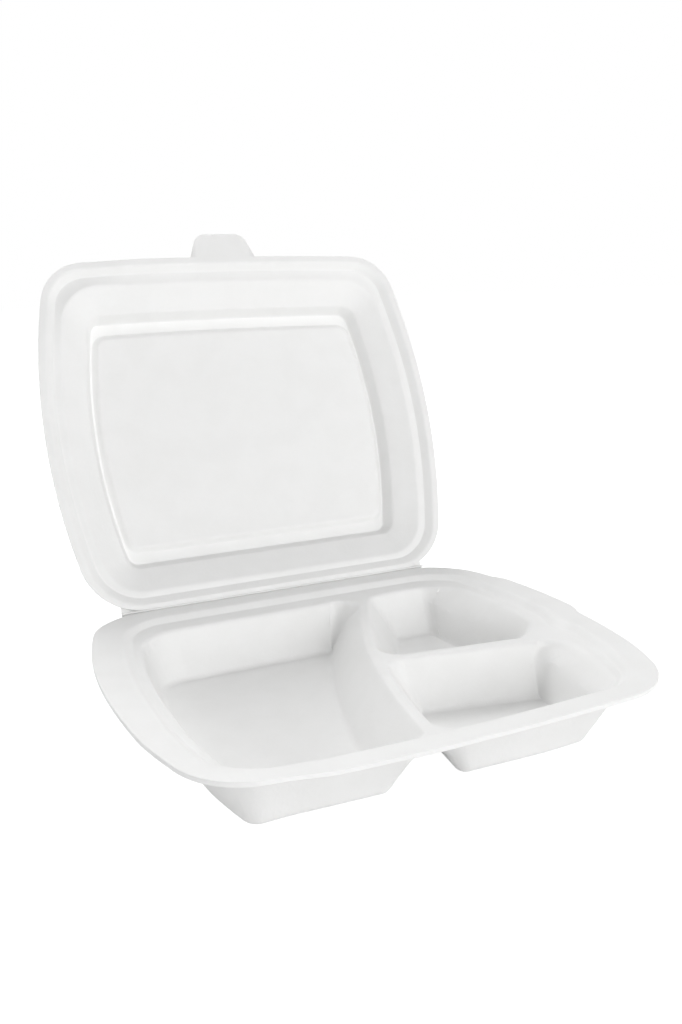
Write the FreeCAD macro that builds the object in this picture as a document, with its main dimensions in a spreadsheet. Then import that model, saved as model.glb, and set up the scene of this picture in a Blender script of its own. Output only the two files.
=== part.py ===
"""Hinged foam takeout container with three compartments.

The container is thermoformed from one sheet of white foam.  Its two halves, the tray and the lid,
are each made the way their mould is made: a solid block takes the form of the inner surface, with
its rim step, ledge and tapered hollows, and Thickness then turns that surface into a sheet of even
thickness.  Millimetres, +X along the hinge, +Y from the tray to the hinge, +Z up.
"""
import FreeCAD, Part
import math
import os
import Sketcher
from FreeCAD import Placement, Rotation, Vector

SIZES = {
    # the foam sheet and the rim that both halves share
    "foam_thick": 2.3,
    "block_spare": 4.6,  # how far the block reaches below the form; it goes when the sheet is made
    "rim_width": 240.0,
    "rim_depth": 206.0,
    "rim_side_rad": 315.0,
    "rim_front_rad": 1130.0,
    "rim_corner_rad": 34.0,
    # the tray: flange, step down to the ledge, and the compartments under the ledge
    "tray_height": 31.2,
    "flange_side": 14.5,
    "flange_front": 10.5,
    "flange_back": 13.5,
    "flange_corner_rad": 24.0,
    "step_drop": 3.0,
    "step_draft": 48.0,
    "lip_side": 22.0,
    "lip_front": 16.5,
    "lip_back": 27.5,
    "lip_corner_front": 14.0,
    "lip_corner_back": 24.0,
    "wall_draft": 17.5,
    "lip_rad": 2.6,
    "floor_rad": 3.3,
    "step_rad": 2.8,
    "step_foot_rad": 1.5,
    # the slanted divider follows an arc through a point on the middle line, at a tilt to Y there
    "divider_point": 7.7,
    "divider_rad": 404.0,
    "divider_tilt": 16.9,
    "divider_crest": 4.8,
    "divider_draft": 31.0,
    "corner_top_rad": 12.0,  # the compartments' corners at the dividers: wide at the lip ...
    "corner_foot_rad": 3.7,  # ... and tight at the floor
    "corner_wide_rad": 19.0,
    "corner_tight_rad": 5.0,
    # the cross divider leaves the slanted one in front of its point and widens to the right
    "cross_start": 8.5,
    "cross_tilt": 9.0,
    "cross_flare": 1.6,
    "cross_crest": 4.6,
    "cross_draft": 17.0,
    # the lid: narrow flange, step, ledge, sloping shoulder, upright wall, groove, raised panel
    "lid_width": 236.0,
    "lid_depth": 202.2,
    "lid_side_rad": 350.0,
    "lid_free_rad": 2800.0,
    "lid_corner_free": 27.0,
    "lid_flange": 4.0,
    "lid_step_drop": 3.5,
    "lid_step_draft": 49.0,
    "lid_flange_hinge": 2.8,
    "lid_ledge_side": 12.7,
    "lid_ledge_free": 14.2,
    "lid_ledge_hinge": 10.0,
    "lid_ledge_rad": 4.0,
    "lid_ledge_corner": 23.0,
    "shoulder_drop": 8.5,
    "shoulder_draft": 59.3,
    "shoulder_rad": 2.8,
    "lid_wall_drop": 8.0,
    "lid_wall_draft": 20.0,
    "groove_side": 1.2,
    "groove_end": 6.5,
    "groove_rad": 1.0,
    "panel_rise": 2.8,
    "panel_draft": 45.0,
    "panel_rad": 3.0,
    # the tab on the lid's free edge
    "tab_base": 43.0,
    "tab_tip": 29.0,
    "tab_reach": 14.5,
    "tab_root": 4.0,
    "tab_press": 0.3,
    "tab_thick": 1.4,
    "tab_corner_rad": 8.0,
    # the pressed hinge: a thin web on each half, and the crease between them
    "hinge_length": 173.0,
    "hinge_web": 0.9,
    "hinge_press": 2.6,
    "hinge_dip": 0.4,
    "crease_gap": 0.3,
    "lid_opening": 113.0,
}

NEAR = 0.01  # how close two levels or points are when they count as the same


class Size:
    """A length with its present value and the text that binds it to the sheet."""

    def __init__(self, value, text):
        self.value = value
        self.text = text

    def _join(self, other, sign, result):
        return Size(result, f"({self.text} {sign} {as_size(other).text})")

    def __add__(self, other):
        return self._join(other, "+", self.value + as_size(other).value)

    def __sub__(self, other):
        return self._join(other, "-", self.value - as_size(other).value)

    def __mul__(self, other):
        return self._join(other, "*", self.value * as_size(other).value)

    def __truediv__(self, other):
        return self._join(other, "/", self.value / as_size(other).value)

    def __neg__(self):
        return Size(-self.value, f"(0 - {self.text})")


def as_size(number):
    return number if isinstance(number, Size) else Size(float(number), str(number))


def cosine(angle):
    return Size(math.cos(math.radians(angle.value)), f"cos({angle.text})")


def tangent(angle):
    return Size(math.tan(math.radians(angle.value)), f"tan({angle.text})")


def sine(angle):
    return Size(math.sin(math.radians(angle.value)), f"sin({angle.text})")


def angle_of_sine(ratio):
    return Size(math.degrees(math.asin(ratio.value)), f"asin({ratio.text})")


doc = FreeCAD.newDocument("TakeoutContainer")
sheet = doc.addObject("Spreadsheet::Sheet", "Sizes")


def fill_sheet():
    for row, (name, value) in enumerate(SIZES.items(), start=1):
        sheet.set(f"A{row}", name)
        sheet.set(f"B{row}", str(value))
        sheet.setAlias(f"B{row}", name)
    doc.recompute()


def size(name):
    return Size(float(sheet.get(name)), f"Sizes.{name}")


def bind(feature, prop, length):
    """Set a feature's property and tie it to the sheet."""
    setattr(feature, prop, length.value)
    feature.setExpression(prop, length.text)


# --- outlines: a closed loop of arcs and straight rows, rounded where they meet -----------------

class Arc:
    """A side that bows outwards: part of a circle around the loop."""

    def __init__(self, centre_x, centre_y, radius):
        self.x, self.y, self.radius = as_size(centre_x), as_size(centre_y), as_size(radius)

    def locus(self, rounding):
        """Radius of the circle on which the centre of a rounding lies."""
        return self.radius.value - rounding

    def foot(self, point):
        centre = Vector(self.x.value, self.y.value, 0)
        return centre + (point - centre).normalize() * self.radius.value

    def geometry(self, start, end):
        return arc_between(Vector(self.x.value, self.y.value, 0), start, end)

    def constrain(self, sketch, index):
        hold(sketch, "DistanceX", self.x, -1, 1, index, 3)
        hold(sketch, "DistanceY", self.y, -1, 1, index, 3)
        hold(sketch, "Radius", self.radius, index)


class Row:
    """A straight side along X; above tells whether the loop lies above it."""

    def __init__(self, y, above):
        self.y = as_size(y)
        self.above = above

    def locus(self, rounding):
        return self.y.value + (rounding if self.above else -rounding)

    def foot(self, point):
        return Vector(point.x, self.y.value, 0)

    def geometry(self, start, end):
        return Part.LineSegment(start, end)

    def constrain(self, sketch, index):
        sketch.addConstraint(Sketcher.Constraint("Horizontal", index))
        hold(sketch, "DistanceY", self.y, -1, 1, index, 1)


def hold(sketch, kind, length, *where):
    """Add a dimension to a sketch and tie it to the sheet."""
    number = sketch.addConstraint(Sketcher.Constraint(kind, *where, length.value))
    sketch.setExpression(f"Constraints[{number}]", length.text)


def arc_between(centre, start, end):
    """The arc that runs anticlockwise from start to end."""
    first = math.atan2(start.y - centre.y, start.x - centre.x)
    last = math.atan2(end.y - centre.y, end.x - centre.x)
    if last < first:
        last += 2 * math.pi
    circle = Part.Circle(centre, Vector(0, 0, 1), (start - centre).Length)
    return Part.ArcOfCircle(circle, first, last)


def rounding_centre(side, other, radius, near):
    """Centre of the rounding between two sides, the one closest to the point near."""
    if isinstance(side, Row):
        side, other = other, side
    centre = Vector(side.x.value, side.y.value, 0)
    reach = side.locus(radius)
    if isinstance(other, Row):
        rise = other.locus(radius) - centre.y
        across = math.sqrt(reach ** 2 - rise ** 2)
        choices = [centre + Vector(across, rise, 0), centre + Vector(-across, rise, 0)]
    else:
        apart = Vector(other.x.value, other.y.value, 0) - centre
        along = (reach ** 2 - other.locus(radius) ** 2 + apart.Length ** 2) / (2 * apart.Length)
        height = math.sqrt(reach ** 2 - along ** 2)
        unit = Vector(apart).normalize()
        middle = centre + unit * along
        square = Vector(-unit.y, unit.x, 0) * height
        choices = [middle + square, middle - square]
    return min(choices, key=lambda point: (point - near).Length)


def add_loop(sketch, sides, radii, corners):
    """Draw the sides anticlockwise; each meets the next with a rounding, close to its corner."""
    count = len(sides)
    centres = [rounding_centre(sides[turn], sides[(turn + 1) % count], radii[turn].value,
                               corners[turn]) for turn in range(count)]
    for turn, side in enumerate(sides):
        came_from, goes_to = centres[turn - 1], centres[turn]
        after = sides[(turn + 1) % count]
        index = sketch.addGeometry(side.geometry(side.foot(came_from), side.foot(goes_to)))
        sketch.addGeometry(arc_between(goes_to, side.foot(goes_to), after.foot(goes_to)))
        side.constrain(sketch, index)
        hold(sketch, "Radius", radii[turn], index + 1)
    for side in range(count):
        line, turn, onward = 2 * side, 2 * side + 1, 2 * ((side + 1) % count)
        sketch.addConstraint(Sketcher.Constraint("Tangent", line, 2, turn, 1))
        sketch.addConstraint(Sketcher.Constraint("Tangent", turn, 2, onward, 1))


def add_polygon(sketch, corners):
    """Draw a closed outline of straight lines through corners given as pairs of sizes."""
    points = [Vector(x.value, y.value, 0) for x, y in corners]
    for begin, finish in zip(points, points[1:] + points[:1]):
        sketch.addGeometry(Part.LineSegment(begin, finish))
    for index, (x, y) in enumerate(corners):
        sketch.addConstraint(Sketcher.Constraint("Coincident", index, 2, (index + 1) % len(corners), 1))
        hold(sketch, "DistanceX", x, -1, 1, index, 1)
        hold(sketch, "DistanceY", y, -1, 1, index, 1)


def level_sketch(body, name, level):
    """A sketch on the body's own XY plane, raised to a level."""
    sketch = body.newObject("Sketcher::SketchObject", name)
    plane = next(item for item in body.Origin.OriginFeatures if item.Role == "XY_Plane")
    sketch.AttachmentSupport = (plane, "")
    sketch.MapMode = "FlatFace"
    sketch.AttachmentOffset = Placement(Vector(0, 0, level.value), Rotation())
    sketch.setExpression(".AttachmentOffset.Base.z", level.text)
    return sketch


# --- features --------------------------------------------------------------------------------

def pad(body, name, sketch, height, downward=False, draft=None):
    feature = body.newObject("PartDesign::Pad", name)
    feature.Profile = sketch
    feature.Reversed = downward
    bind(feature, "Length", height)
    if draft:
        bind(feature, "TaperAngle", -draft)
    sketch.Visibility = False
    doc.recompute()
    return feature


def pocket(body, name, sketch, depth, draft=None, upward=False):
    """Cut down from the sketch, narrowing by the draft; check that it did cut."""
    before = body.Tip.Shape.Volume
    feature = body.newObject("PartDesign::Pocket", name)
    feature.Profile = sketch
    feature.Reversed = upward
    bind(feature, "Length", depth)
    if draft:
        bind(feature, "TaperAngle", -draft)
    doc.recompute()
    if not feature.Shape.Volume < before - 1:
        raise RuntimeError(f"{name} cuts nothing")
    return feature


def lies_on(edge, feature):
    """Whether the middle of an edge lies on one of a feature's own edges."""
    point = Part.Vertex(edge.valueAt((edge.FirstParameter + edge.LastParameter) / 2))
    return any(point.distToShape(other)[0] < NEAR for other in feature.Shape.Edges)


def edges_between(body, bottom, top, on=None, off=None):
    """Names of the edges from bottom to top that lie on one feature's edges and off another's."""
    names = []
    for number, edge in enumerate(body.Tip.Shape.Edges, start=1):
        box = edge.BoundBox
        if abs(box.ZMin - bottom.value) > NEAR or abs(box.ZMax - top.value) > NEAR:
            continue
        if (on and not lies_on(edge, on)) or (off and lies_on(edge, off)):
            continue
        names.append(f"Edge{number}")
    return names


def edges_at(body, level, on=None, off=None):
    return edges_between(body, level, level, on, off)


def fillet(body, name, edges, radius):
    base = body.Tip
    feature = body.newObject("PartDesign::Fillet", name)
    feature.Base = (base, edges)
    bind(feature, "Radius", radius)
    doc.recompute()
    return feature


def cone_fillet(name, body, edges, tops, foot):
    """Round upright edges, each with its own radius at the top and one radius at the foot."""
    radii = []
    for edge_name, top in zip(edges, tops):
        number = int(edge_name.removeprefix("Edge"))
        edge = body.Tip.Shape.Edges[number - 1]
        rises = edge.valueAt(edge.FirstParameter).z < edge.valueAt(edge.LastParameter).z
        ends = (foot.value, top.value) if rises else (top.value, foot.value)
        radii.append((number, *ends))
    feature = doc.addObject("Part::Fillet", name)
    feature.Base = body
    feature.Edges = radii
    doc.recompute()
    return feature


def into_sheet(body, name, bottom):
    """Turn the block's upper surface into an even sheet: its sides and its bottom go."""
    base = body.Tip
    removed = [f"Face{number}" for number, face in enumerate(base.Shape.Faces, start=1)
               if abs(face.BoundBox.ZMin - bottom.value) < NEAR]
    feature = body.newObject("PartDesign::Thickness", name)
    feature.Base = (base, removed)
    feature.Reversed = True
    bind(feature, "Value", size("foam_thick"))
    doc.recompute()
    return feature


# --- the tray ----------------------------------------------------------------------------------

def tray_sides(side, front, back):
    """The tray's front, right, back and left sides, moved in from the rim by these amounts."""
    radius = size("rim_side_rad")
    off_axis = radius - size("rim_width") / 2
    half_depth = size("rim_depth") / 2
    return [
        Arc(0, size("rim_front_rad") - half_depth, size("rim_front_rad") - front),
        Arc(-off_axis, 0, radius - side),
        Row(half_depth - back, above=False),
        Arc(off_axis, 0, radius - side),
    ]


def box_corners(left, right, front, back):
    """Points near the four corners, anticlockwise from front right."""
    return [Vector(right, front, 0), Vector(right, back, 0),
            Vector(left, back, 0), Vector(left, front, 0)]


def add_slanted_divider(body, ledge):
    """A ridge along an arc: its section, from the block's middle to the ledge, turns about Z."""
    radius, tilt = size("divider_rad"), size("divider_tilt")
    centre_x = size("divider_point") + radius * cosine(tilt)
    centre_y = -(radius * sine(tilt))
    section = body.newObject("Sketcher::SketchObject", "slanted_section")
    plane = next(item for item in body.Origin.OriginFeatures if item.Role == "XZ_Plane")
    section.AttachmentSupport = (plane, "")
    section.MapMode = "FlatFace"
    turned = Rotation(Vector(0, -1, 0), tilt.value)
    section.AttachmentOffset = Placement(Vector(centre_x.value, 0, -centre_y.value), turned)
    section.setExpression(".AttachmentOffset.Base.x", centre_x.text)
    section.setExpression(".AttachmentOffset.Base.z", (-centre_y).text)
    section.setExpression(".AttachmentOffset.Rotation.Angle", tilt.text)

    crest = size("divider_crest") / 2
    foot = crest + ledge * tangent(size("divider_draft"))
    level = as_size(0)
    add_polygon(section, [(-radius - foot, level), (-radius + foot, level),
                          (-radius + crest, ledge), (-radius - crest, ledge)])
    ridge = body.newObject("PartDesign::Revolution", "slanted_divider")
    ridge.Profile = section
    ridge.ReferenceAxis = (section, ["V_Axis"])
    ridge.Midplane = True
    reach = size("rim_depth") / 2 - size("flange_front")
    bind(ridge, "Angle", angle_of_sine(reach / radius) * 2)
    doc.recompute()


def add_cross_divider(body, ledge):
    """A wedge-shaped ridge from the slanted divider's middle to beyond the right-hand wall."""
    start = size("divider_point") - size("cross_start") * tangent(size("divider_tilt"))
    spread = ledge * tangent(size("cross_draft"))
    left = start - spread
    right = size("rim_width") / 2 - size("flange_side") + spread

    def side_of(x, side):
        half = size("cross_crest") / 2 + (x - start) * tangent(size("cross_flare")) + spread
        middle_line = -size("cross_start") - (x - start) * tangent(size("cross_tilt"))
        return (x, middle_line + half * side)

    outline = level_sketch(body, "cross_outline", as_size(0))
    add_polygon(outline, [side_of(left, -1), side_of(right, -1), side_of(right, 1), side_of(left, 1)])
    pad(body, "cross_divider", outline, ledge, draft=size("cross_draft"))


def add_corner_cones(form, corners):
    """Round the upright corners at the dividers; the outermost two differ from the rest."""
    def across(edge_name):
        edge = form.Tip.Shape.Edges[int(edge_name.removeprefix("Edge")) - 1]
        return edge.valueAt((edge.FirstParameter + edge.LastParameter) / 2).x

    corners.sort(key=across)
    tops = [size("corner_top_rad")] * len(corners)
    tops[0], tops[-1] = size("corner_tight_rad"), size("corner_wide_rad")
    return cone_fillet("divider_corners", form, corners, tops, size("corner_foot_rad"))


def make_tray():
    form = doc.addObject("PartDesign::Body", "tray_form")
    height = size("tray_height")
    ledge = height - size("step_drop")
    floor = size("foam_thick")
    half_width = size("rim_width").value / 2
    half_depth = size("rim_depth").value / 2
    around = box_corners(-half_width, half_width, -half_depth, half_depth)

    rim = level_sketch(form, "tray_rim", height)
    add_loop(rim, tray_sides(0, 0, size("crease_gap") / 2), [size("rim_corner_rad")] * 4, around)
    spare = size("block_spare")
    block = pad(form, "tray_block", rim, height + spare, downward=True)

    inner = level_sketch(form, "tray_flange_edge", height)
    flange = tray_sides(size("flange_side"), size("flange_front"), size("flange_back"))
    add_loop(inner, flange, [size("flange_corner_rad")] * 4, around)
    step = pocket(form, "rim_step", inner, size("step_drop"), size("step_draft"))

    # one basin, parted into three compartments by the two dividers
    lips = tray_sides(size("lip_side"), size("lip_front"), size("lip_back"))
    front, back = size("lip_corner_front"), size("lip_corner_back")
    mouth = level_sketch(form, "basin_lip", ledge)
    add_loop(mouth, lips, [front, back, back, front], around)
    basin = pocket(form, "basin", mouth, ledge - floor, size("wall_draft"))
    add_slanted_divider(form, ledge)
    add_cross_divider(form, ledge)

    # soft edges: corners at the dividers, lips, floors, the foot of the step, the flange's edge
    rounded = add_corner_cones(form, edges_between(form, floor, ledge, off=basin))
    body = doc.addObject("PartDesign::Body", "tray")
    body.BaseFeature = rounded
    doc.recompute()
    fillet(body, "lips", edges_at(body, ledge, off=step), size("lip_rad"))
    fillet(body, "floors", edges_at(body, floor), size("floor_rad"))
    fillet(body, "step_foot", edges_at(body, ledge, on=step), size("step_foot_rad"))
    fillet(body, "flange_edge", edges_at(body, height, off=block), size("step_rad"))
    into_sheet(body, "tray_sheet", -spare)
    hinge = size("rim_depth") / 2
    press_hinge(body, height, hinge - size("hinge_press"), hinge + size("foam_thick"))
    return body


# --- the lid, drawn as a dish that lies open beside the tray: hinge at y = 0, rim at z = 0 --------

def lid_sides(side, free, hinge):
    """The lid's hinge, right, free and left sides, moved in from the rim by these amounts."""
    radius = size("lid_side_rad")
    off_axis = radius - size("lid_width") / 2
    half_depth = size("lid_depth") / 2
    bow = size("lid_free_rad")
    return [
        Row(as_size(0) + hinge, above=True),
        Arc(-off_axis, half_depth, radius - side),
        Arc(0, size("lid_depth") - bow, bow - free),
        Arc(off_axis, half_depth, radius - side),
    ]


def make_lid():
    body = doc.addObject("PartDesign::Body", "lid")
    ledge = -size("lid_step_drop")
    shoulder_end = ledge - size("shoulder_drop")
    floor = shoulder_end - size("lid_wall_drop")
    bottom = floor - size("block_spare")
    half_width = size("lid_width").value / 2
    around = box_corners(-half_width, half_width, 0, size("lid_depth").value)

    def outline(name, level, insets, radii):
        sketch = level_sketch(body, name, level)
        add_loop(sketch, lid_sides(*insets), radii, around)
        return sketch

    hinge_corner, free_corner = size("rim_corner_rad"), size("lid_corner_free")
    rim_radii = [hinge_corner, free_corner, free_corner, hinge_corner]
    rim = outline("lid_rim", as_size(0), (0, 0, 0), rim_radii)
    block = pad(body, "lid_block", rim, -bottom, downward=True)

    flange = size("lid_flange")
    edge = (flange, flange, size("lid_flange_hinge"))
    inner = outline("lid_flange_edge", as_size(0), edge, [radius - flange for radius in rim_radii])
    step = pocket(body, "lid_step", inner, size("lid_step_drop"), size("lid_step_draft"))

    # below the ledge the shoulder slopes gently, then the wall drops to the floor
    top = (size("lid_ledge_side"), size("lid_ledge_free"), size("lid_ledge_hinge"))
    ledge_edge = outline("lid_ledge_lip", ledge, top, [size("lid_ledge_corner")] * 4)
    shoulder = pocket(body, "shoulder", ledge_edge, size("shoulder_drop"), size("shoulder_draft"))
    run = size("shoulder_drop") * tangent(size("shoulder_draft"))
    low = tuple(inset + run for inset in top)
    corners = [size("lid_ledge_corner") - run] * 4
    wall_top = outline("lid_wall_top", shoulder_end, low, corners)
    pocket(body, "lid_wall", wall_top, size("lid_wall_drop"), size("lid_wall_draft"))

    # the panel stands up from the floor inside a shallow groove
    lean = size("lid_wall_drop") * tangent(size("lid_wall_draft"))
    grooves = (size("groove_side"), size("groove_end"), size("groove_end"))
    foot = tuple(inset + lean + groove for inset, groove in zip(low, grooves))
    base = outline("panel_base", floor, foot, corners)
    panel = pad(body, "panel", base, size("panel_rise"), draft=size("panel_draft"))
    panel_top = floor + size("panel_rise")

    fillet(body, "panel_edge", edges_at(body, panel_top), size("panel_rad"))
    fillet(body, "shoulder_edge", edges_at(body, shoulder_end), size("shoulder_rad"))
    fillet(body, "lid_ledge_edge", edges_at(body, ledge, off=step), size("lid_ledge_rad"))
    fillet(body, "groove_edges", edges_at(body, floor), size("groove_rad"))
    fillet(body, "lid_step_foot", edges_at(body, ledge, on=step), size("groove_rad"))
    fillet(body, "lid_flange_lip", edges_at(body, as_size(0), off=block), size("step_rad"))
    into_sheet(body, "lid_sheet", bottom)
    add_tab(body)
    press_hinge(body, as_size(0), -size("foam_thick"), size("hinge_press"))
    return body


def add_tab(body):
    """The thin tab that the fingers lift, on the middle of the free edge."""
    level = -size("tab_press")
    sketch = level_sketch(body, "tab_outline", level)
    start = size("lid_depth") - size("tab_root")
    end = size("lid_depth") + size("tab_reach")
    base, tip = size("tab_base") / 2, size("tab_tip") / 2
    corners = [(-base, start), (base, start), (tip, end), (-tip, end)]
    add_polygon(sketch, corners)
    tab = pad(body, "tab", sketch, size("tab_thick"), downward=True)
    upright = [f"Edge{number}" for number, edge in enumerate(tab.Shape.Edges, start=1)
               if edge.BoundBox.YMin > end.value - NEAR and edge.BoundBox.XLength < NEAR]
    fillet(body, "tab_corners", upright, size("tab_corner_rad"))


# --- the hinge ---------------------------------------------------------------------------------

def press_hinge(body, top, front, back):
    """Press the flange to a thin web between front and back, from above and from below."""
    half = size("hinge_length") / 2
    corners = [(-half, front), (half, front), (half, back), (-half, back)]
    dip = size("hinge_dip")
    upper = level_sketch(body, f"{body.Label}_crease", top)
    add_polygon(upper, corners)
    pocket(body, f"{body.Label}_crease_dip", upper, dip)
    lower = level_sketch(body, f"{body.Label}_press", top - size("block_spare"))
    add_polygon(lower, corners)
    depth = size("block_spare") - dip - size("hinge_web")
    pocket(body, f"{body.Label}_press_cut", lower, depth, upward=True)


# --- the assembly ------------------------------------------------------------------------------

def place(tray, lid):
    """Stand the tray on the origin's plane, open the lid, and centre the whole on X and Y."""
    gap = size("crease_gap").value / 2
    hinge = Vector(0, size("rim_depth").value / 2, size("tray_height").value + gap)
    lift = Rotation(Vector(1, 0, 0), 180 - size("lid_opening").value)
    beside = Placement(Vector(0, gap, -gap), Rotation())
    lid.Placement = Placement(hinge, lift) * beside
    doc.recompute()
    boxes = [body.Shape.optimalBoundingBox(False) for body in (tray, lid)]
    centre = (min(box.YMin for box in boxes) + max(box.YMax for box in boxes)) / 2
    for body in (tray, lid):
        body.Placement = Placement(Vector(0, -centre, 0), Rotation()) * body.Placement
    doc.recompute()
    print("hinge axis at y", round(hinge.y - centre, 3), "z", round(hinge.z, 3))


def check_and_write(bodies):
    for item in doc.Objects:
        if "Invalid" in item.State or "Error" in item.State:
            raise RuntimeError(f"{item.Name} failed: {item.State}")
    os.makedirs("parts", exist_ok=True)
    for body in bodies:
        shape = body.Shape
        if shape.isNull() or not shape.isValid() or len(shape.Solids) != 1:
            raise RuntimeError(f"{body.Label} is not one sound solid")
        box = shape.optimalBoundingBox(False)
        print(body.Label, "volume", round(shape.Volume), "x", round(box.XMin, 2), round(box.XMax, 2),
              "y", round(box.YMin, 2), round(box.YMax, 2), "z", round(box.ZMin, 2), round(box.ZMax, 2))
        shape.exportStep(f"parts/{body.Label}.step")


fill_sheet()
tray = make_tray()
lid = make_lid()
place(tray, lid)
check_and_write([tray, lid])
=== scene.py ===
"""Looks of the three-compartment takeout container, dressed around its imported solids."""

import math

import bmesh
import bpy
from mathutils import Matrix, Vector


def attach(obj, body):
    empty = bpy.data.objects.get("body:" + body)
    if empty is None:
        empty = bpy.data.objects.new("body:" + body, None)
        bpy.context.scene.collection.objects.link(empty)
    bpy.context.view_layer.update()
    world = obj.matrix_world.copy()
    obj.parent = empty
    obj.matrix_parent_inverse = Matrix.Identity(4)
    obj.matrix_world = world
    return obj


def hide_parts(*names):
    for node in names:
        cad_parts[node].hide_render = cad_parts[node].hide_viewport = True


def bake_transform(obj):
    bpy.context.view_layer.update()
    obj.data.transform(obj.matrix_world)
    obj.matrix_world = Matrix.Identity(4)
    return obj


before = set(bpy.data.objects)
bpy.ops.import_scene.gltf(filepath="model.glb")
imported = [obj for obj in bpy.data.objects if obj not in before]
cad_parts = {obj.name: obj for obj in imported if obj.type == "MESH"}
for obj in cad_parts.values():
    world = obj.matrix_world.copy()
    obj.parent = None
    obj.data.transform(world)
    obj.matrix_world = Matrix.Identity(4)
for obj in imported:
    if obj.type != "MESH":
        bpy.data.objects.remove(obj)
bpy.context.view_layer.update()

MM = 0.001
RIGHT, BACKWARD, UP = Vector((1, 0, 0)), Vector((0, 1, 0)), Vector((0, 0, 1))

# Camera: where it looks, from which side, how high and how far.
VIEW_TARGET = Vector((9.78, 1.05, 85.34)) * MM
VIEW_SIDE = -23.833
VIEW_HEIGHT = 14.173
VIEW_ROLL = -1.453
VIEW_DISTANCE = 489.31 * MM
VIEW_LENS = 33.66
VIEW_SHIFT = (0.0038, 0.0048)
NEAREST_SEEN = 0.01

# Light: the room's even glow, and soft lamps by compass side, height, width and power.
ROOM_GLOW = 0.15
LAMPS = (
    ("front_low", -5, 10, 1.2, 12.4),
    ("front_high", 20, 42, 1.2, 6.3),
    ("right", 50, 15, 1.2, 6.5),
    ("left", -95, 15, 1.2, 4.0),
    ("back_left", -140, 20, 1.2, 3.9),
    ("back_high", 180, 50, 1.2, 21.5),
)
LAMP_DISTANCE = 1.8
LIT_POINT = Vector((0, 0, 0.09))

# Floor: the paper that lights the object, and what is seen of it, a glow with a faint shadow.
FLOOR_HALF = 8
FLOOR_PAPER = (0.85, 0.85, 0.85, 1.0)
FLOOR_SHADED = (0.55, 0.55, 0.55, 1.0)
FLOOR_GLOW = 0.93
WHITE = (1.0, 1.0, 1.0, 1.0)

# Foam: its colours, its gloss, and the size of its mottling, cells and grain per metre.
WHITE_FOAM = (0.935, 0.935, 0.93, 1.0)
SHADED_FOAM = (0.918, 0.918, 0.911, 1.0)
FOAM_IOR = 1.45
FOAM_SHINE = 0.4
FOAM_SETTINGS = (("Mottle Scale", 70), ("Cell Scale", 750), ("Gloss", 0.46), ("Dull", 0.62))
GRAIN_SCALE = 1900
PATCH_RANGE = (0.36, 0.68)
PATCH_SHARE, CELL_SHARE = 0.65, 0.5
WAVE_HEIGHT, GRAIN_HEIGHT = 3.5, 0.22
SHEET_RELIEF = 0.08 * MM
HINGE_RELIEF = 0.04 * MM

# The sheet that both halves are pressed from.
SHEET_THICK = 2.3 * MM
LID_LEAN = math.radians(113)  # how far the open lid stands from the closed one
HINGE_LINE = Vector((0, 59.281, 31.35)) * MM
TRAY_TOP = 31.2 * MM
FLANGE_GAP = 0.15 * MM  # from the hinge line to each flange

# The open lid's own directions: away from the hinge, and out behind its rim.
LID_ALONG = Vector((0, -math.cos(LID_LEAN), math.sin(LID_LEAN)))
LID_OUT = Vector((0, math.sin(LID_LEAN), math.cos(LID_LEAN)))

# Merging, rounding and slicing the copies of the solids.
MERGE_WITHIN = 0.004 * MM
FLAT_WITHIN = math.radians(0.2)
SHARP_OVER = math.radians(38)
RIM_EDGE_OVER = math.radians(60)
RIM_TOP_RAD = 1.0 * MM
RIM_FOOT_RAD = 0.6 * MM
TRAY_LEVEL_WITHIN = 0.02 * MM
LID_LEVEL_WITHIN = 0.03 * MM
CUT_WITHIN = 0.001 * MM
RIM_STEPS = 3
SLICE = 6 * MM
LOW_SLICE = 3 * MM
TRAY_CUTS_RIGHT = (-117 * MM, 118 * MM)
TRAY_CUTS_BACKWARD = (-144 * MM, 58 * MM)
TRAY_CUTS_UP = (5 * MM, 28 * MM)
LID_CUTS_RIGHT = (-105 * MM, 106 * MM)
LID_CUTS_ALONG = (3 * MM, 207 * MM)  # from the hinge line

# The tray's rim outline, in mm: bowed sides and front, joined by round corners.
SIDE_HALF, SIDE_MIDDLE, SIDE_BOW = 120, -43.7, 630
FRONT_EDGE, FRONT_BOW = -146.7, 2260
CORNER_RAD = 34

# How far each place of the tray is bent, in mm.
FLANGE_OUT, FLANGE_UP = 1.8, 1.2
STEP_OUT = 2.4
EAR_OUT = 3.3
CURL_UP, LIP_DIP = 2.0, 1.2
TUB_FOOT_UP = 1.3
LEFT_WALL_OUT = 2.0
BACK_LEFT_OUT = 2.0
BLUNT_CORNER, BLUNT_IN = (93.6, -57.6), 5.0
LEAN_IN, FRONT_LEAN_SHARE = 9.0, 0.72
SMALL_FOOT_IN = 6.5
SMALL_TUB_SPLAY = 8.0

SMALL_TUB_MIDDLE = Vector((58, -104, 30))  # in mm; faces turned away from it are outer ones
LID_RIM_DEEP, LID_RIM_FULL = 12, 6  # in mm behind the rim, where its lift ends and is full
LEFT_LIP_ROUNDS = 14  # of smoothing

# Upright grooves at the compartments' back corners, in mm: foot x, lean, foot y, width, depth.
CORNER_GROOVES = (
    (14.0, 0.147, 21, 11, 3.0),
    (84.0, 0.02, 21, 24, 2.2),
    (86.0, -0.02, -75, 24, 2.0),
)
GROOVE_FOOT = 3.5
GROOVE_DRAFT = 0.27
GROOVE_CUTS = (0, 0.5, 1, 2, 4)

# The pressed strip behind the crease, and the thin raised rib that lies in the crease.
STRIP_HALF = 92 * MM
STRIP_THICK = 0.7 * MM
STRIP_REACH = 4.5 * MM
STRIP_EASE = 0.4 * MM
STRIP_SUNK = 0.05 * MM
STRIP_TURNS = 8
STRIP_COLUMNS = 46
RIB_RAD = 0.5 * MM
RIB_SIDES = 16


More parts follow.
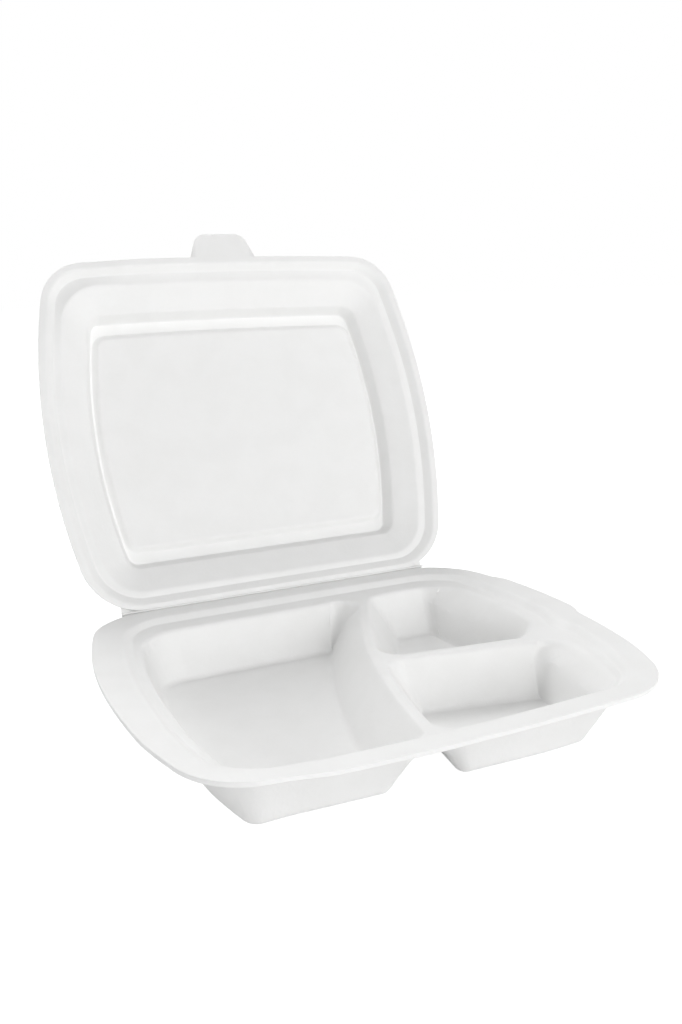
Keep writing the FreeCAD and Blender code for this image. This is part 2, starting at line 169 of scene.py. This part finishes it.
def direction_to(side, height):
    """Towards a compass side, counted from the front to the right, and a height, in degrees."""
    turn, rise = math.radians(side), math.radians(height)
    level = math.cos(rise)
    return Vector((math.sin(turn) * level, -math.cos(turn) * level, math.sin(rise)))


def add_object(name, data):
    thing = bpy.data.objects.new(name, data)
    bpy.context.scene.collection.objects.link(thing)
    return thing


def add_camera():
    back = direction_to(VIEW_SIDE, VIEW_HEIGHT)
    side = math.radians(VIEW_SIDE)
    right = Vector((math.cos(side), math.sin(side), 0))
    turn = Matrix((right, back.cross(right), back)).transposed().to_4x4()
    roll = Matrix.Rotation(math.radians(VIEW_ROLL), 4, "Z")
    place = Matrix.Translation(VIEW_TARGET + back * VIEW_DISTANCE)
    data = bpy.data.cameras.new("camera")
    data.lens = VIEW_LENS
    data.shift_x, data.shift_y = VIEW_SHIFT
    data.clip_start = NEAREST_SEEN
    camera = add_object("camera", data)
    camera.matrix_world = place @ turn @ roll
    bpy.context.scene.camera = camera


# --- materials ---------------------------------------------------------------------------------


def new_material(name):
    material = bpy.data.materials.new(name)
    material.use_nodes = True
    material.node_tree.nodes.clear()
    return material, material.node_tree.nodes, material.node_tree.links


def finish_shader(nodes, links, shader, kind="ShaderNodeOutputMaterial"):
    out = nodes.new(kind)
    links.new(shader.outputs[0], out.inputs["Surface"])


def math_node(nodes, links, operation, first, second):
    node = nodes.new("ShaderNodeMath")
    node.operation = operation
    for socket, value in zip(node.inputs, (first, second)):
        if isinstance(value, (int, float)):
            socket.default_value = value
        else:
            links.new(value, socket)
    return node.outputs[0]


def pressed_foam_group():
    """Pressed foam: soft mottling, closed skin cells and a fine grain over them."""
    group = bpy.data.node_groups.new("pressed_foam", "ShaderNodeTree")
    face = group.interface
    for name in ("Clean", "Shaded"):
        face.new_socket(name, in_out="INPUT", socket_type="NodeSocketColor")
    for name, value in FOAM_SETTINGS:
        socket = face.new_socket(name, in_out="INPUT", socket_type="NodeSocketFloat")
        socket.default_value = value
    face.new_socket("Color", in_out="OUTPUT", socket_type="NodeSocketColor")
    for name in ("Roughness", "Height"):
        face.new_socket(name, in_out="OUTPUT", socket_type="NodeSocketFloat")
    nodes, links = group.nodes, group.links
    given = nodes.new("NodeGroupInput")
    wanted = nodes.new("NodeGroupOutput")
    place = nodes.new("ShaderNodeTexCoord").outputs["Object"]

    mottle = nodes.new("ShaderNodeTexNoise")
    mottle.inputs["Detail"].default_value = 3
    mottle.inputs["Roughness"].default_value = 0.45
    links.new(place, mottle.inputs["Vector"])
    links.new(given.outputs["Mottle Scale"], mottle.inputs["Scale"])

    cells = nodes.new("ShaderNodeTexVoronoi")
    cells.feature = "SMOOTH_F1"
    cells.inputs["Smoothness"].default_value = 0.6
    links.new(place, cells.inputs["Vector"])
    links.new(given.outputs["Cell Scale"], cells.inputs["Scale"])

    grain = nodes.new("ShaderNodeTexNoise")
    grain.inputs["Scale"].default_value = GRAIN_SCALE
    grain.inputs["Detail"].default_value = 2
    links.new(place, grain.inputs["Vector"])

    patches = nodes.new("ShaderNodeMapRange")
    patches.interpolation_type = "SMOOTHSTEP"
    patches.inputs["From Min"].default_value = PATCH_RANGE[0]
    patches.inputs["From Max"].default_value = PATCH_RANGE[1]
    links.new(mottle.outputs["Fac"], patches.inputs["Value"])
    soft_cells = math_node(nodes, links, "MULTIPLY", cells.outputs["Distance"], CELL_SHARE)
    mask = math_node(nodes, links, "MULTIPLY", patches.outputs["Result"], PATCH_SHARE)
    mask = math_node(nodes, links, "ADD", mask, soft_cells)

    tone = nodes.new("ShaderNodeMix")
    tone.data_type = "RGBA"
    links.new(mask, tone.inputs["Factor"])
    links.new(given.outputs["Clean"], tone.inputs["A"])
    links.new(given.outputs["Shaded"], tone.inputs["B"])
    links.new(tone.outputs["Result"], wanted.inputs["Color"])

    shine = nodes.new("ShaderNodeMapRange")
    links.new(mask, shine.inputs["Value"])
    links.new(given.outputs["Gloss"], shine.inputs["To Min"])
    links.new(given.outputs["Dull"], shine.inputs["To Max"])
    links.new(shine.outputs["Result"], wanted.inputs["Roughness"])

    waves = math_node(nodes, links, "MULTIPLY", mottle.outputs["Fac"], WAVE_HEIGHT)
    fine = math_node(nodes, links, "MULTIPLY", grain.outputs["Fac"], GRAIN_HEIGHT)
    height = math_node(nodes, links, "ADD", waves, fine)
    height = math_node(nodes, links, "SUBTRACT", height, soft_cells)
    links.new(height, wanted.inputs["Height"])
    return group


def foam_material(name, group, relief, **settings):
    material, nodes, links = new_material(name)
    skin = nodes.new("ShaderNodeGroup")
    skin.node_tree = group
    skin.inputs["Clean"].default_value = WHITE_FOAM
    skin.inputs["Shaded"].default_value = SHADED_FOAM
    for socket, value in settings.items():
        skin.inputs[socket.replace("_", " ")].default_value = value
    bump = nodes.new("ShaderNodeBump")
    bump.inputs["Strength"].default_value = 1.0
    bump.inputs["Distance"].default_value = relief
    links.new(skin.outputs["Height"], bump.inputs["Height"])
    shader = nodes.new("ShaderNodeBsdfPrincipled")
    shader.inputs["IOR"].default_value = FOAM_IOR
    shader.inputs["Specular IOR Level"].default_value = FOAM_SHINE
    links.new(skin.outputs["Color"], shader.inputs["Base Color"])
    links.new(skin.outputs["Roughness"], shader.inputs["Roughness"])
    links.new(bump.outputs["Normal"], shader.inputs["Normal"])
    finish_shader(nodes, links, shader)
    return material


# --- the studio --------------------------------------------------------------------------------


def seen_directly(nodes, links):
    """1 for rays from the camera and for mirrored or passing light, 0 for light on its way."""
    seen = nodes.new("ShaderNodeLightPath").outputs
    mirrored = math_node(
        nodes, links, "MAXIMUM", seen["Is Glossy Ray"], seen["Is Transmission Ray"]
    )
    return math_node(nodes, links, "MAXIMUM", seen["Is Camera Ray"], mirrored)


def choose_shader(nodes, links, unseen, seen):
    """One shader for the light on its way, and another for what is seen directly."""
    choice = nodes.new("ShaderNodeMixShader")
    links.new(seen_directly(nodes, links), choice.inputs[0])
    links.new(unseen.outputs[0], choice.inputs[1])
    links.new(seen.outputs[0], choice.inputs[2])
    return choice


def floor_material():
    """White paper: it lights the object as paper does, and shows white with a faint shadow."""
    material, nodes, links = new_material("floor_white")
    paper = nodes.new("ShaderNodeBsdfDiffuse")
    paper.inputs["Color"].default_value = FLOOR_PAPER
    shaded = nodes.new("ShaderNodeBsdfDiffuse")
    shaded.inputs["Color"].default_value = FLOOR_SHADED
    glow = nodes.new("ShaderNodeEmission")
    glow.inputs["Strength"].default_value = FLOOR_GLOW
    both = nodes.new("ShaderNodeAddShader")
    links.new(shaded.outputs[0], both.inputs[0])
    links.new(glow.outputs[0], both.inputs[1])
    finish_shader(nodes, links, choose_shader(nodes, links, paper, both))
    return material


def add_floor():
    mesh = bpy.data.meshes.new("floor")
    plane = bmesh.new()
    bmesh.ops.create_grid(plane, x_segments=1, y_segments=1, size=FLOOR_HALF)
    plane.to_mesh(mesh)
    plane.free()
    mesh.materials.append(floor_material())
    floor = add_object("floor", mesh)


def add_room():
    """Even light from all round, and plain white where the camera sees past the floor."""
    world = bpy.data.worlds.new("studio")
    world.use_nodes = True
    nodes, links = world.node_tree.nodes, world.node_tree.links
    nodes.clear()
    room = nodes.new("ShaderNodeBackground")
    room.inputs["Color"].default_value = WHITE
    room.inputs["Strength"].default_value = ROOM_GLOW
    white = nodes.new("ShaderNodeBackground")
    white.inputs["Color"].default_value = WHITE
    choice = choose_shader(nodes, links, room, white)
    finish_shader(nodes, links, choice, kind="ShaderNodeOutputWorld")
    bpy.context.scene.world = world


def add_lamp(name, side, height, width, power):
    """A soft round lamp, aimed at the object."""
    towards = direction_to(side, height)
    data = bpy.data.lights.new(name, "AREA")
    data.shape = "DISK"
    data.size = width
    data.energy = power
    lamp = add_object(name, data)
    lamp.location = LIT_POINT + towards * LAMP_DISTANCE
    lamp.rotation_euler = (-towards).to_track_quat("-Z", "Y").to_euler()


# --- shaping -----------------------------------------------------------------------------------


def copy_of_solid(node_name):
    """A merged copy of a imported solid's mesh, with its flat faces whole again."""
    shape = bmesh.new()
    shape.from_mesh(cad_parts[node_name].data)
    bmesh.ops.remove_doubles(shape, verts=shape.verts, dist=MERGE_WITHIN)
    bmesh.ops.dissolve_limit(
        shape, angle_limit=FLAT_WITHIN, verts=shape.verts, edges=shape.edges
    )
    return shape


def foam_piece(name, shape, material):
    """A smooth-shaded piece of foam from a finished shape."""
    mesh = bpy.data.meshes.new(name)
    shape.to_mesh(mesh)
    shape.free()
    mesh.shade_smooth()
    mesh.set_sharp_from_angle(angle=SHARP_OVER)
    mesh.materials.append(material)
    return add_object(name, mesh)


def replace_solid(name, shape, body, node_name, material):
    """A piece that rides on a body and stands for one of its solids."""
    piece = foam_piece(name, shape, material)
    even = piece.modifiers.new("even_shading", "WEIGHTED_NORMAL")
    even.keep_sharp = True
    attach(piece, body)
    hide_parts(node_name)


def cut(shape, point, direction):
    everything = shape.verts[:] + shape.edges[:] + shape.faces[:]
    bmesh.ops.bisect_plane(
        shape, geom=everything, plane_co=point, plane_no=direction, dist=CUT_WITHIN
    )


def slices(shape, direction, first, last, step=SLICE):
    """Cut across a direction in even steps, so that the sheet can bend softly."""
    at = first
    while at <= last:
        cut(shape, direction * at, direction)
        at += step


def round_edges(shape, level, radius, within):
    """Round the sharp edges where level, a point's height over the wanted plane, is nil."""
    edges = [
        edge
        for edge in shape.edges
        if len(edge.link_faces) == 2
        and edge.calc_face_angle() > RIM_EDGE_OVER
        and all(abs(level(vert.co)) < within for vert in edge.verts)
    ]
    bmesh.ops.bevel(
        shape,
        geom=edges,
        offset=radius,
        offset_type="OFFSET",
        segments=RIM_STEPS,
        profile=0.5,
        affect="EDGES",
        material=-1,
        clamp_overlap=True,
    )


def fade(value, start, end):
    """0 before start, 1 after end, and a soft step between them."""
    part = min(max((value - start) / (end - start), 0.0), 1.0)
    return part * part * (3 - 2 * part)


def inside_rim(x, y):
    """How far a point of the tray lies inside its rim's outline, in mm."""
    side = SIDE_HALF - (y - SIDE_MIDDLE) ** 2 / SIDE_BOW - abs(x)
    front = y - FRONT_EDGE - x * x / FRONT_BOW
    if side < CORNER_RAD and front < CORNER_RAD:
        return CORNER_RAD - math.hypot(CORNER_RAD - side, CORNER_RAD - front)
    return min(side, front)


# Each bend takes a point of the tray and how far it lies inside the rim, all in mm, and gives
# its moves to the right and up. A fade's last two numbers are where the bend starts and is full.


def wide_right_flange(x, y, z, inside):
    """The right flange stands a little out and up, with an ear along its back half."""
    if x < 0:
        return 0, 0
    flange = fade(z, 18, 26)
    along = fade(y, 60, 20) * fade(y, -140, -95)
    near = fade(inside, 30, 16) * flange
    ear = fade(y, 19, 14) * fade(y, -54, -44) * fade(inside, 14, 10) * flange
    step = fade(inside, 5, 10) * fade(inside, 24, 16) * flange
    out = FLANGE_OUT * along * near + EAR_OUT * ear + STEP_OUT * along * step
    return out, FLANGE_UP * along * near


def lifted_front_left(x, y, z, inside):
    """The flange curls up at the front left, and the lip beside it dips."""
    where = fade(y, -85, -125) * fade(x, -52, -82) * fade(z, 20, 27)
    curl = CURL_UP * fade(inside, 18, 3)
    dip = LIP_DIP * fade(inside, 8, 20) * fade(inside, 36, 24)
    return 0, where * (curl - dip)


def raised_tub_front(x, y, z, inside):
    """The main tub's foot is a little off the table along the front."""
    where = fade(x, -88, -62) * fade(x, 60, 8) * fade(y, -85, -115)
    return 0, TUB_FOOT_UP * where * fade(z, 24, 6)


def full_left_wall(x, y, z, inside):
    """The main tub's left wall stands fuller towards the front."""
    where = fade(y, -55, -95) * fade(x, -55, -80) * fade(inside, 3, 16)
    return -LEFT_WALL_OUT * where, 0


def wide_back_left(x, y, z, inside):
    """The flange's back left corner reaches a little further out."""
    where = fade(x, -75, -95) * fade(y, -75, 15) * fade(y, 60, 45) * fade(inside, 20, 8)
    return -BACK_LEFT_OUT * where, 0


def blunt_back_corner(x, y, z, inside):
    """The back compartment's corner beside the cross divider is pressed in wide."""
    near = fade(math.hypot(x - BLUNT_CORNER[0], y - BLUNT_CORNER[1]), 20, 3)
    return -BLUNT_IN * near * fade(z, 4, 18) * fade(y, -70, -62), 0


def leaning_right_walls(x, y, z, inside):
    """Below the lip, the small compartments' right walls lean in towards their corners."""
    back = min(max((y + 58) / 72, 0), 1)
    front = FRONT_LEAN_SHARE * fade(y, -62, -68)
    lean = LEAN_IN * fade(z, 30, 19) * fade(x, 74, 90) * max(back, front)
    foot = SMALL_FOOT_IN * fade(x, 58, 88) * fade(y, -85, -112) * fade(z, 13, 0)
    return -lean - foot, 0


def splayed_small_tub(x, y, z):
    """From outside, the front right tub's end leans out to a wide top."""
    where = fade(x, 66, 86) * fade(y, -60, -75)
    return SMALL_TUB_SPLAY * where * fade(z, 8, 26) * fade(z, 29, 28), 0


RIM_BENDS = (wide_right_flange, lifted_front_left)  # the lid's rim follows these
TRAY_BENDS = (
    *RIM_BENDS,
    raised_tub_front,
    full_left_wall,
    wide_back_left,
    blunt_back_corner,
    leaning_right_walls,
)


def corner_relief(x, y, z):
    """How far a wall steps back at a corner, into an upright groove, in mm."""
    push = 0
    rise = z - GROOVE_FOOT
    for foot_x, lean, foot_y, width, depth in CORNER_GROOVES:
        across = x - foot_x - lean * rise
        near = fade(abs(y - foot_y - GROOVE_DRAFT * rise), 14, 9)
        push += depth * fade(across, 0, 1) * fade(across, width, width - 3) * near
    return push * fade(z, 0, 4) * fade(z, 29.5, 24)


def left_lip_softness(x, y, z):
    where = fade(x, -72, -92) * fade(y, 34, 14) * fade(y, -128, -100)
    return where * fade(inside_rim(x, y), 6, 12) * fade(z, 16, 24)


def soften_left_lip(shape):
    """The ledge and lip melt into one soft bend along the left side."""
    for number in range(LEFT_LIP_ROUNDS):
        soft = [
            vert
            for vert in shape.verts
            if left_lip_softness(*(vert.co / MM)) > number / LEFT_LIP_ROUNDS
        ]
        bmesh.ops.smooth_vert(
            shape, verts=soft, factor=0.5, use_axis_x=True, use_axis_y=False, use_axis_z=True
        )


# --- the two halves and their hinge ------------------------------------------------------------


def make_tray(material):
    shape = copy_of_solid("tray")
    tray_foot = TRAY_TOP - SHEET_THICK
    round_edges(shape, lambda point: point.z - TRAY_TOP, RIM_TOP_RAD, TRAY_LEVEL_WITHIN)
    round_edges(shape, lambda point: point.z - tray_foot, RIM_FOOT_RAD, TRAY_LEVEL_WITHIN)
    slices(shape, RIGHT, *TRAY_CUTS_RIGHT)
    slices(shape, BACKWARD, *TRAY_CUTS_BACKWARD)
    slices(shape, UP, *TRAY_CUTS_UP, step=LOW_SLICE)
    for foot_x, lean, *_ in CORNER_GROOVES:
        for step in GROOVE_CUTS:
            cut(shape, Vector((foot_x + step, 0, GROOVE_FOOT)) * MM, Vector((1, 0, -lean)))
    shape.normal_update()
    middle = SMALL_TUB_MIDDLE * MM
    outward = [vert.normal.dot(vert.co - middle) > 0 for vert in shape.verts]
    for vert, faces_out in zip(shape.verts, outward):
        x, y, z = vert.co / MM
        inside = inside_rim(x, y)
        moves = [bend(x, y, z, inside) for bend in TRAY_BENDS]
        if faces_out:
            moves.append(splayed_small_tub(x, y, z))
        vert.co.x += sum(move[0] for move in moves) * MM
        vert.co.y += corner_relief(x, y, z) * MM
        vert.co.z += sum(move[1] for move in moves) * MM
    soften_left_lip(shape)
    replace_solid("tray_foam", shape, "tray", "tray", material)


def lid_depth(point):
    """How far a point lies behind the plane of the open lid's rim."""
    return (point - HINGE_LINE).dot(LID_OUT)


def make_lid(material):
    shape = copy_of_solid("lid")
    front, back = FLANGE_GAP, FLANGE_GAP + SHEET_THICK
    round_edges(shape, lambda point: lid_depth(point) - front, RIM_TOP_RAD, LID_LEVEL_WITHIN)
    round_edges(shape, lambda point: lid_depth(point) - back, RIM_FOOT_RAD, LID_LEVEL_WITHIN)
    slices(shape, RIGHT, *LID_CUTS_RIGHT)
    at_hinge = HINGE_LINE.dot(LID_ALONG)
    slices(shape, LID_ALONG, *(at_hinge + part for part in LID_CUTS_ALONG))
    for vert in shape.verts:
        follow_tray_rim(vert)
    replace_solid("lid_foam", shape, "lid", "lid", material)


def follow_tray_rim(vert):
    """Lift a point of the lid's rim as the tray's rim below the closed lid is lifted."""
    depth = lid_depth(vert.co) / MM
    if depth > LID_RIM_DEEP:
        return
    x = vert.co.x / MM
    y = (HINGE_LINE.y - (vert.co - HINGE_LINE).dot(LID_ALONG)) / MM
    inside = inside_rim(x, y)
    lift = sum(bend(x, y, TRAY_TOP / MM, inside)[1] for bend in RIM_BENDS)
    vert.co += LID_OUT * (max(lift, 0) * fade(depth, LID_RIM_DEEP, LID_RIM_FULL) * MM)


def new_verts(made):
    return [item for item in made["geom"] if isinstance(item, bmesh.types.BMVert)]


def strip_profile():
    """The strip's inner line, from under the tray's flange round to behind the lid's."""
    radius = HINGE_LINE.z - (TRAY_TOP - SHEET_THICK) - STRIP_SUNK
    wrap = []
    for step in range(STRIP_TURNS + 1):
        turn = Matrix.Rotation((math.pi - LID_LEAN) * step / STRIP_TURNS, 3, "X")
        wrap.append(HINGE_LINE + turn @ -UP * radius)
    before = [wrap[0] - BACKWARD * STRIP_REACH, wrap[0] - BACKWARD * STRIP_EASE]
    eased = wrap[-1] + LID_ALONG * STRIP_EASE
    after = [eased, eased + LID_ALONG * STRIP_REACH]
    return before, wrap, after


def sweep_strip(shape, line):
    """Draw the strip's line out along the crease, column by column."""
    ends = [shape.verts.new(point - RIGHT * STRIP_HALF) for point in line]
    edges = [shape.edges.new(pair) for pair in zip(ends, ends[1:])]
    column = RIGHT * (2 * STRIP_HALF / STRIP_COLUMNS)
    for _ in range(STRIP_COLUMNS):
        made = bmesh.ops.extrude_edge_only(shape, edges=edges)
        ends = new_verts(made)
        bmesh.ops.translate(shape, verts=ends, vec=column)
        edges = [
            item
            for item in made["geom"]
            if isinstance(item, bmesh.types.BMEdge) and all(vert in ends for vert in item.verts)
        ]


def face_crease(shape):
    """Turn the strip's faces towards the crease, so that its thickness grows outwards."""
    bmesh.ops.recalc_face_normals(shape, faces=shape.faces[:])
    shape.faces.ensure_lookup_table()
    first = shape.faces[0]
    away = first.calc_center_median() - HINGE_LINE
    away.x = 0
    if first.normal.dot(away) > 0:
        bmesh.ops.reverse_faces(shape, faces=shape.faces[:])


def add_rib(shape):
    """The thin raised rib that lies in the crease, along the hinge line."""
    ring = bmesh.ops.create_circle(shape, cap_ends=True, radius=RIB_RAD, segments=RIB_SIDES)
    across = Matrix.Rotation(math.pi / 2, 4, "Y")
    place = Matrix.Translation(HINGE_LINE - RIGHT * STRIP_HALF)
    bmesh.ops.transform(shape, matrix=place @ across, verts=ring["verts"])
    disc = ring["verts"][0].link_faces[0]
    made = bmesh.ops.extrude_face_region(shape, geom=[disc], use_keep_orig=True)
    bmesh.ops.translate(shape, verts=new_verts(made), vec=RIGHT * (2 * STRIP_HALF))


def make_hinge_strip(material):
    """A thin pressed strip that wraps the crease from the tray's flange to the lid's."""
    before, wrap, after = strip_profile()
    shape = bmesh.new()
    sweep_strip(shape, before + wrap + after)
    face_crease(shape)
    bmesh.ops.solidify(shape, geom=shape.faces[:], thickness=STRIP_THICK)
    add_rib(shape)
    bmesh.ops.recalc_face_normals(shape, faces=shape.faces[:])
    piece = foam_piece("hinge_strip", shape, material)
    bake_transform(piece)


add_camera()
add_floor()
add_room()
for lamp in LAMPS:
    add_lamp(*lamp)

pressed_foam = pressed_foam_group()
foam = foam_material("foam_sheet", pressed_foam, SHEET_RELIEF)
hinge_foam = foam_material("foam_hinge", pressed_foam, HINGE_RELIEF, Cell_Scale=1100, Gloss=0.4)
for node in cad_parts.values():
    node.data.materials.clear()
    node.data.materials.append(foam)
make_tray(foam)
make_lid(foam)
make_hinge_strip(hinge_foam)

bpy.context.scene.view_settings.view_transform = "Standard"
